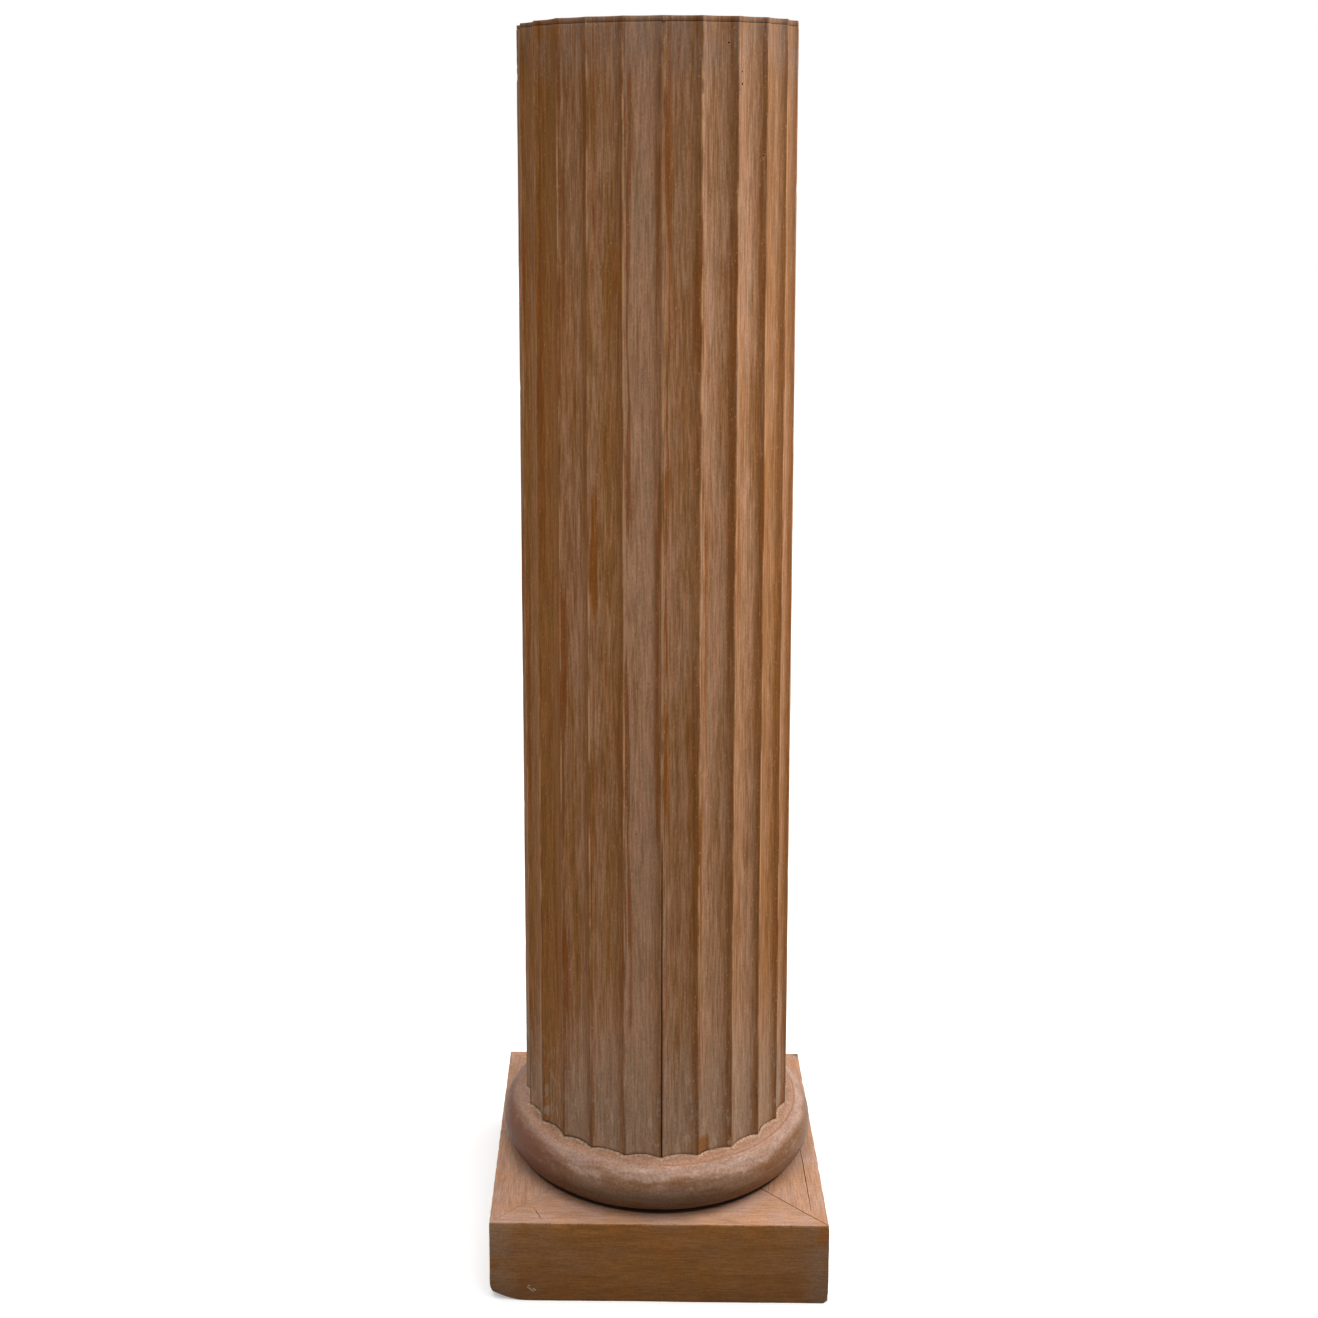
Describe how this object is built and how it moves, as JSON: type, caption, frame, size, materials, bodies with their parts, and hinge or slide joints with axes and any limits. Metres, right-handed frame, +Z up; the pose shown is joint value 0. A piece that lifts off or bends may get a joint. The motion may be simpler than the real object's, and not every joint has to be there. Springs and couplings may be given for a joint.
{
  "type": "fluted wooden column pedestal",
  "caption": "Fluted round wooden column without a capital, on a half-round moulding and a square plinth of mitred boards, closed by a thin fluted top board.",
  "frame": {"origin": "centre of the plinth's square footprint, on the surface it stands on", "axes": "+Z up along the shaft's axis, -Y towards the front, +X to the right as seen from the front"},
  "size_m": [0.305, 0.305, 1.14],
  "materials": {
    "plinth_wood": "stripped softwood with traces of pale wash, matt",
    "moulding_wood": "stripped softwood with greyish pink wash in patches, matt",
    "shaft_wood": "stripped softwood with pale wash and orange-brown streaks, matt",
    "top_board_wood": "stripped softwood, darker, matt"
  },
  "bodies": {
    "root": {"plinth_board_front": "plinth_wood", "plinth_board_right": "plinth_wood", "plinth_board_back": "plinth_wood", "plinth_board_left": "plinth_wood", "torus_moulding": "moulding_wood", "fluted_shaft": "shaft_wood", "top_board": "top_board_wood"}
  },
  "joints": []
}
